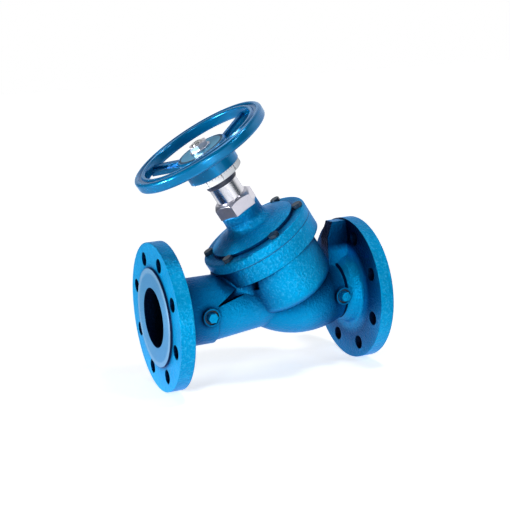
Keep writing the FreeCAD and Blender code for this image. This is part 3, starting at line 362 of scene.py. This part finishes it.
def cover_paint():
    """The pale blue hub cover, with painted shade on its rim for the gap round it."""
    finish = Finish("cover_paint", Metallic=0.4, Specular_Tint=rgb(0.3, 0.7, 1.0),
                    Coat_Weight=0.1, Coat_Roughness=0.12)
    reach = finish.along()[1]
    # Painted shade: the rim is painted near black, as the gap round the cover lies in shadow.
    painted_rim_shade = reach.above(0.0303, soft=0.0004)
    peel = finish.noise(scale=260, detail=1.5)
    paint = finish.mix(finish.noise(scale=30), rgb(0.05, 0.24, 0.40), rgb(0.10, 0.34, 0.50))
    finish.drive("Base Color", finish.mix(painted_rim_shade, paint, rgb(0.004, 0.012, 0.03)))
    finish.drive("Roughness", peel * 0.1 + 0.32)
    finish.relief(peel, depth=0.0002, rounding=0.0006)
    return finish.material


def gasket_fibre():
    """Grey fibre, painted over with the casting on its outer edge."""
    finish = Finish("gasket_fibre", Specular_IOR_Level=0.3)
    reach = finish.along()[1]
    painted = reach.above(0.0786)
    speck = finish.noise(scale=1600, detail=3.0, roughness=0.6)
    fibre = finish.mix(speck, rgb(0.10, 0.09, 0.08), rgb(0.24, 0.22, 0.19))
    finish.drive("Base Color", finish.mix(painted, fibre, rgb(0.0, 0.10, 0.28)))
    finish.drive("Roughness", speck * 0.2 + 0.4)
    finish.relief(speck, depth=0.0001)
    return finish.material


def turned_metal(name, dark, bright, rough, pitch):
    """Bright metal with fine turning marks round the stem's axis."""
    finish = Finish(name, Metallic=1.0)
    level, reach = finish.along()
    turned = finish.node("CombineXYZ", None, {0: level / pitch, 1: reach / pitch, 2: 0.0})
    marks = finish.noise(scale=1.0, detail=3.0, roughness=0.6, place=turned)
    smears = finish.noise(scale=140, detail=3.0, roughness=0.6)
    shares = marks * 0.5 + smears * 0.5
    finish.drive("Base Color", finish.mix(shares, rgb(*dark), rgb(*bright)))
    finish.drive("Roughness", marks * 0.12 + smears * 0.10 + rough)
    finish.relief(marks, depth=pitch * 0.08, rounding=0.0004)
    return finish.material


def mottled(name, dark, light, metallic, rough, grain, depth, rounding):
    """A finish that is mottled at the size of its grain, and in clouds of about eight grains."""
    finish = Finish(name, Metallic=metallic)
    speck = finish.noise(scale=1 / grain, detail=3.0, roughness=0.6)
    cloud = finish.noise(scale=0.12 / grain)
    shares = speck * 0.45 + cloud * 0.55
    finish.drive("Base Color", finish.mix(shares, rgb(*dark), rgb(*light)))
    finish.drive("Roughness", speck * 0.16 + rough)
    finish.relief(speck, depth, rounding)
    return finish.material


finishes = {
    "blue_paint": cast_paint(),
    "wheel_paint": wheel_paint(),
    "cover_paint": cover_paint(),
    "gasket_fibre": gasket_fibre(),
}
finishes.update((slot, turned_metal(slot, *values)) for slot, values in TURNED.items())
finishes.update((slot, mottled(slot, *values)) for slot, values in MOTTLED.items())


def dress_nodes():
    """Give each CAD node the finish of its slot."""
    for sub in frame["record"]["subparts"]:
        for slot in frame["nodes"][sub["node"]].material_slots:
            slot.material = finishes[sub["material_slot"]]


# Shapes.

def finished(name, mesh, finish, body, smooth=True):
    """Turn a bmesh into a piece that rides on a body."""
    bmesh.ops.remove_doubles(mesh, verts=mesh.verts, dist=WELD)
    bmesh.ops.recalc_face_normals(mesh, faces=mesh.faces)
    data = bpy.data.meshes.new(name)
    mesh.to_mesh(data)
    mesh.free()
    for face in data.polygons:
        face.use_smooth = smooth
    if smooth:
        data.set_sharp_from_angle(angle=SHARP_FROM)
    data.materials.append(finishes[finish])
    piece = bpy.data.objects.new(name, data)
    bpy.context.scene.collection.objects.link(piece)
    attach(piece, body)
    return piece


def lathe(corners, steps):
    """A closed line of radius and level corners, in millimetres, spun about Z."""
    mesh = bmesh.new()
    spots = [mesh.verts.new((radius * MM, 0, level * MM)) for radius, level in corners]
    edges = [mesh.edges.new(pair) for pair in zip(spots, spots[1:] + spots[:1])]
    bmesh.ops.spin(mesh, geom=spots + edges, cent=(0, 0, 0), axis=(0, 0, 1),
                   angle=2 * math.pi, steps=steps, use_merge=True)
    bmesh.ops.remove_doubles(mesh, verts=mesh.verts, dist=WELD)
    return mesh


def outwards(degrees):
    """A unit vector square to Z."""
    angle = math.radians(degrees)
    return Vector((math.cos(angle), math.sin(angle), 0))


def add_copy(target, source, matrix):
    """Copy a bmesh into another one, moved by a matrix."""
    carrier = bpy.data.meshes.new("carrier")
    source.to_mesh(carrier)
    carrier.transform(matrix)
    target.from_mesh(carrier)
    bpy.data.meshes.remove(carrier)


# Bonnet bolts.

def bolt_head():
    """A turned blank with a chamfered top and a washer face, cut flat on six sides."""
    corner = HEAD_ACROSS / math.sqrt(3)
    top = BOLT_SEAT + HEAD_HIGH
    mesh = lathe([
        (0, BOLT_SEAT),
        (WASHER_FACE_R, BOLT_SEAT),
        (WASHER_FACE_R, BOLT_SEAT + WASHER_FACE_HIGH),
        (corner, BOLT_SEAT + WASHER_FACE_HIGH),
        (corner, top - HEAD_CHAMFER),
        (HEAD_ACROSS / 2 - HEAD_FLAT_INSET, top),
        (0, top),
    ], steps=72)
    for side in range(6):
        square = outwards(30 + 60 * side)
        bmesh.ops.bisect_plane(mesh, geom=mesh.verts[:] + mesh.edges[:] + mesh.faces[:],
                               dist=1e-8, plane_co=square * HEAD_ACROSS / 2 * MM,
                               plane_no=square, clear_outer=True)
        open_edges = [edge for edge in mesh.edges if edge.is_boundary]
        bmesh.ops.holes_fill(mesh, edges=open_edges, sides=0)
    return mesh


def bonnet_bolts():
    """The six bolts, each turned a little further than the last, as fitters leave them."""
    head = bolt_head()
    shank_top = BOLT_SEAT + SHANK_INTO_HEAD
    shank = lathe([(0, BOLT_END), (BOLT_R, BOLT_END), (BOLT_R, shank_top), (0, shank_top)],
                  steps=24)
    group = bmesh.new()
    for index in range(BOLT_COUNT):
        away = outwards(BOLT_FIRST + 360 / BOLT_COUNT * index)
        spot = Matrix.Translation(away * BOLT_RING_R * MM)
        turn = Matrix.Rotation(math.radians(BOLT_TURN * index), 4, "Z")
        for part in (head, shank):
            add_copy(group, part, STEM_FRAME @ spot @ turn)
    head.free()
    shank.free()
    piece = finished("bonnet_bolt_set", group, "black_steel", "valve_body")
    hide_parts("bonnet_bolts")


# Marks on the graduated ring.

def on_ring(angle, level):
    """A matrix that stands a flat shape on the ring, upright and facing outwards."""
    away = outwards(angle)
    upright = Vector((0, 0, 1))
    axes = Matrix((upright.cross(away), upright, away)).transposed().to_4x4()
    return STEM_FRAME @ Matrix.Translation(away * DIAL_R * MM + upright * level * MM) @ axes


def digit(text):
    """A digit as a thin mesh, standing in its own plane."""
    curve = bpy.data.curves.new("digit", "FONT")
    curve.body = text
    curve.size = DIGIT_HIGH * TYPE_SIZE_PER_HEIGHT * MM
    curve.extrude = MARK_HALF_THICK * MM
    curve.resolution_u = 3
    curve.align_x = "CENTER"
    curve.align_y = "CENTER"
    holder = bpy.data.objects.new("digit", curve)
    bpy.context.scene.collection.objects.link(holder)
    bpy.context.view_layer.update()
    mesh = bpy.data.meshes.new_from_object(holder)
    bpy.data.objects.remove(holder)
    bpy.data.curves.remove(curve)
    return mesh


def tick(wide, high):
    """A tick as a thin plate, standing in its own plane."""
    mesh = bmesh.new()
    bmesh.ops.create_grid(mesh, x_segments=1, y_segments=1, size=0.5 * MM)
    bmesh.ops.scale(mesh, vec=(wide, high, 1), verts=mesh.verts)
    bmesh.ops.translate(mesh, vec=(0, 0, -MARK_HALF_THICK * MM), verts=mesh.verts)
    raised = bmesh.ops.extrude_face_region(mesh, geom=mesh.faces[:])
    tops = [one for one in raised["geom"] if isinstance(one, bmesh.types.BMVert)]
    bmesh.ops.translate(mesh, vec=(0, 0, 2 * MARK_HALF_THICK * MM), verts=tops)
    return mesh


def dial_marks():
    """Fifty ticks along the ring's upper edge, and a digit under each long one."""
    step = 360 / TICK_COUNT
    marks = bmesh.new()
    ticks = {size: tick(*size) for size in (LONG_TICK, SHORT_TICK)}
    for index in range(TICK_COUNT):
        size = SHORT_TICK if index % TICKS_PER_DIGIT else LONG_TICK
        middle = DIAL_LOW + TICK_TOP - size[1] / 2
        add_copy(marks, ticks[size], on_ring(DIAL_FIRST + index * step, middle))
    for shape in ticks.values():
        shape.free()
    for number in range(TICK_COUNT // TICKS_PER_DIGIT):
        shape = digit(str(number))
        angle = DIAL_FIRST + number * TICKS_PER_DIGIT * step
        shape.transform(on_ring(angle, DIAL_LOW + DIGIT_LEVEL))
        marks.from_mesh(shape)
        bpy.data.meshes.remove(shape)
    finished("dial_marks", marks, "dial_ink", "stem_and_wheel", smooth=False)


# Floor, light and camera.

def floor():
    """A pale floor that turns as white as the backdrop far out, and lights nothing."""
    mesh = bmesh.new()
    bmesh.ops.create_grid(mesh, x_segments=1, y_segments=1, size=FLOOR_HALF)
    bmesh.ops.translate(mesh, vec=(FLOOR_X, 0, cad_box[0].z - FLOOR_GAP), verts=mesh.verts)
    data = bpy.data.meshes.new("floor")
    mesh.to_mesh(data)
    mesh.free()
    plane = bpy.data.objects.new("floor", data)
    bpy.context.scene.collection.objects.link(plane)
    finish = Finish("floor_card", Roughness=0.9, Emission_Strength=1.0)
    finish.drive("Base Color", finish.mix(finish.noise(scale=3.0), grey(0.86), grey(0.88)))
    away = finish.vector("LENGTH", finish.place, (0, 0, 0), "Value")
    shown = finish.mix(away.above(1.2, soft=1.2), grey(0.66), grey(1.0))

    # In metal the floor shows as white cards with a dark gap and a dark left side.
    cards = away.below(0.45, soft=0.20).either(away.above(0.95, soft=0.2))
    right_side = finish.part_of(finish.place, 0).above(-0.06, soft=0.1)
    mirrored = finish.mix(cards * right_side, rgb(0.10, 0.10, 0.12), grey(1.0))
    glow = finish.mix(finish.ray("Camera"), grey(0.0), shown)
    finish.drive("Emission Color", finish.mix(finish.ray("Glossy"), glow, mirrored))
    data.materials.append(finish.material)


def world():
    """A white backdrop that lights nothing but shows to the camera, in metal and in glass."""
    sky = bpy.data.worlds.new("studio")
    bpy.context.scene.world = sky
    sky.use_nodes = True
    sky.node_tree.nodes.clear()
    graph = Graph(sky.node_tree)
    way = graph.node("TexCoord", output="Generated")
    towards = graph.vector("DOT_PRODUCT", way, BEHIND, "Value")
    side = graph.node("MapRange", None, {
        "Value": towards, "From Min": FADE_FROM, "From Max": FADE_TO, "To Min": 0.0, "To Max": 1.0,
    })
    seen = graph.ray("Camera").either(graph.ray("Transmission"))
    seen = seen.either(graph.ray("Glossy") * side)

    # All other rays meet a dim room with a little blue in it.
    dim = graph.node("Background", None, {"Color": rgb(0.62, 0.80, 1.0), "Strength": 0.08})
    white = graph.node("Background", None, {"Color": grey(1.0), "Strength": 1.0})
    blend = graph.node("MixShader", None, {0: seen, 1: dim, 2: white})
    out = graph.tree.nodes.new("ShaderNodeOutputWorld")
    graph.feed(out.inputs["Surface"], blend)


def lamps():
    """Area lamps that face the middle of the valve."""
    for name, place, wide, high, power in LAMPS:
        lamp = bpy.data.lights.new(name, "AREA")
        lamp.shape = "RECTANGLE"
        lamp.size = wide
        lamp.size_y = high
        lamp.energy = power
        holder = bpy.data.objects.new(name, lamp)
        bpy.context.scene.collection.objects.link(holder)
        holder.location = place
        holder.rotation_mode = "QUATERNION"
        holder.rotation_quaternion = (LAMP_AIM - Vector(place)).to_track_quat("-Z", "Y")


def camera():
    lens = bpy.data.cameras.new("camera")
    lens.lens = LENS
    lens.sensor_width = SENSOR_WIDE
    holder = bpy.data.objects.new("camera", lens)
    bpy.context.scene.collection.objects.link(holder)
    turn, dip, roll = (math.radians(value) for value in (CAMERA_TURN, CAMERA_DIP, CAMERA_ROLL))
    ahead = Vector((math.sin(turn) * math.cos(dip), math.cos(turn) * math.cos(dip), -math.sin(dip)))
    right = Vector((math.cos(turn), -math.sin(turn), 0))
    above = right.cross(ahead)
    level_right = math.cos(roll) * right + math.sin(roll) * above
    level_above = math.cos(roll) * above - math.sin(roll) * right
    axes = Matrix((level_right, level_above, -ahead)).transposed()
    holder.matrix_world = Matrix.Translation(CAMERA_PLACE) @ axes.to_4x4()
    bpy.context.scene.camera = holder


dress_nodes()
bonnet_bolts()
dial_marks()
floor()
world()
lamps()
camera()
bpy.context.scene.view_settings.view_transform = "Standard"
